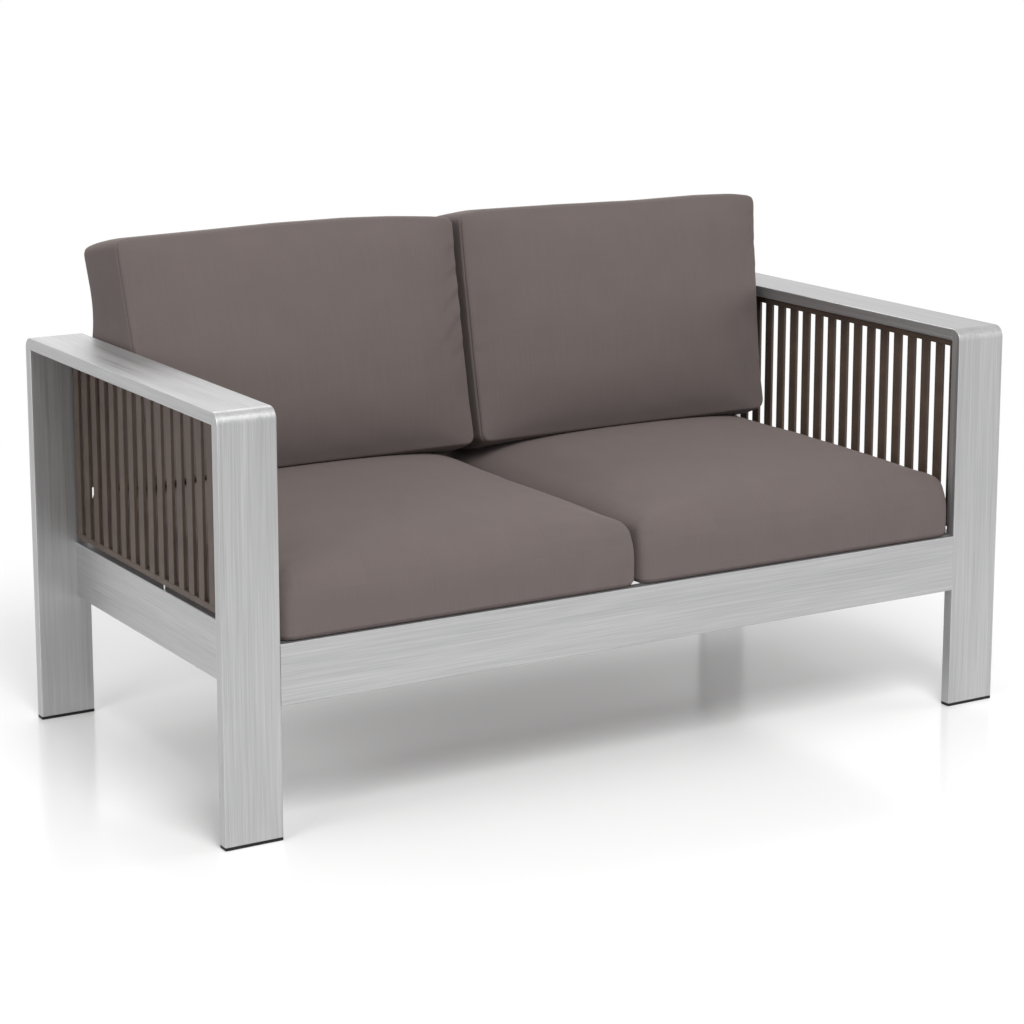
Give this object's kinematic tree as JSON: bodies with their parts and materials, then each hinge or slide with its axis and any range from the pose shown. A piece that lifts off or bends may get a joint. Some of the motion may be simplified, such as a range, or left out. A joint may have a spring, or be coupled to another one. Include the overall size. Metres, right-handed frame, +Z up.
{
  "type": "patio loveseat",
  "caption": "Patio loveseat: flat-tube metal frame with slatted side and back panels, an open slatted deck and loose seat and back cushions.",
  "frame": {"origin": "on the ground under the middle of the footprint", "axes": "+X along the seat to the sitter's left hand side as seen from the front (right in a front view), +Y from front to back, +Z up; left and right in the names are as seen from the front"},
  "size_m": [1.39, 0.714, 0.7921],
  "materials": {
    "brushed_aluminium": "brushed, clear anodised, satin",
    "brown_coated_aluminium": "brown powder coat, low gloss",
    "black_plastic": "moulded, fine texture",
    "bright_pin": "turned, bright",
    "zinc_steel": "zinc plated",
    "taupe_fabric": "plain woven outdoor fabric with topstitched seams"
  },
  "bodies": {
    "frame": {"left_front_leg": "brushed_aluminium", "left_front_foot_cap": "black_plastic", "left_front_corner_bracket": "zinc_steel", "left_rear_leg": "brushed_aluminium", "left_rear_foot_cap": "black_plastic", "left_rear_corner_bracket": "zinc_steel", "left_armrest": "brushed_aluminium", "left_side_rail": "brushed_aluminium", "right_front_leg": "brushed_aluminium", "right_front_foot_cap": "black_plastic", "right_front_corner_bracket": "zinc_steel", "right_rear_leg": "brushed_aluminium", "right_rear_foot_cap": "black_plastic", "right_rear_corner_bracket": "zinc_steel", "right_armrest": "brushed_aluminium", "right_side_rail": "brushed_aluminium", "front_rail": "brushed_aluminium", "rear_rail": "brushed_aluminium", "back_top_rail": "brushed_aluminium", "left_panel_header": "brown_coated_aluminium", "left_panel_sill": "brown_coated_aluminium", "left_panel_slats": "brown_coated_aluminium", "right_panel_header": "brown_coated_aluminium", "right_panel_sill": "brown_coated_aluminium", "right_panel_slats": "brown_coated_aluminium", "back_panel_header": "brown_coated_aluminium", "back_panel_sill": "brown_coated_aluminium", "back_panel_slats": "brown_coated_aluminium", "panel_support_pins": "bright_pin", "front_deck_ledge": "brown_coated_aluminium", "rear_deck_ledge": "brown_coated_aluminium", "deck_slat_01": "brown_coated_aluminium", "deck_slat_02": "brown_coated_aluminium", "deck_slat_03": "brown_coated_aluminium", "deck_slat_04": "brown_coated_aluminium", "deck_slat_05": "brown_coated_aluminium", "deck_slat_06": "brown_coated_aluminium", "deck_slat_07": "brown_coated_aluminium", "deck_slat_08": "brown_coated_aluminium", "deck_slat_09": "brown_coated_aluminium", "deck_slat_10": "brown_coated_aluminium", "deck_slat_11": "brown_coated_aluminium", "deck_slat_12": "brown_coated_aluminium", "bracket_bolts": "zinc_steel", "bracket_nuts": "zinc_steel"},
    "left_seat_cushion": {"left_seat_cushion": "taupe_fabric"},
    "right_seat_cushion": {"right_seat_cushion": "taupe_fabric"},
    "left_back_cushion": {"left_back_cushion": "taupe_fabric"},
    "right_back_cushion": {"right_back_cushion": "taupe_fabric"}
  },
  "joints": [
    {"name": "left_seat_cushion_slide", "type": "slide", "parent": "frame", "child": "left_seat_cushion", "axis": [0, -1, 0], "range_m": [0, 0.7]},
    {"name": "right_seat_cushion_slide", "type": "slide", "parent": "frame", "child": "right_seat_cushion", "axis": [0, -1, 0], "range_m": [0, 0.7]},
    {"name": "left_back_cushion_lift", "type": "slide", "parent": "frame", "child": "left_back_cushion", "axis": [0, 0, 1], "range_m": [0, 0.45]},
    {"name": "right_back_cushion_lift", "type": "slide", "parent": "frame", "child": "right_back_cushion", "axis": [0, 0, 1], "range_m": [0, 0.45]}
  ]
}
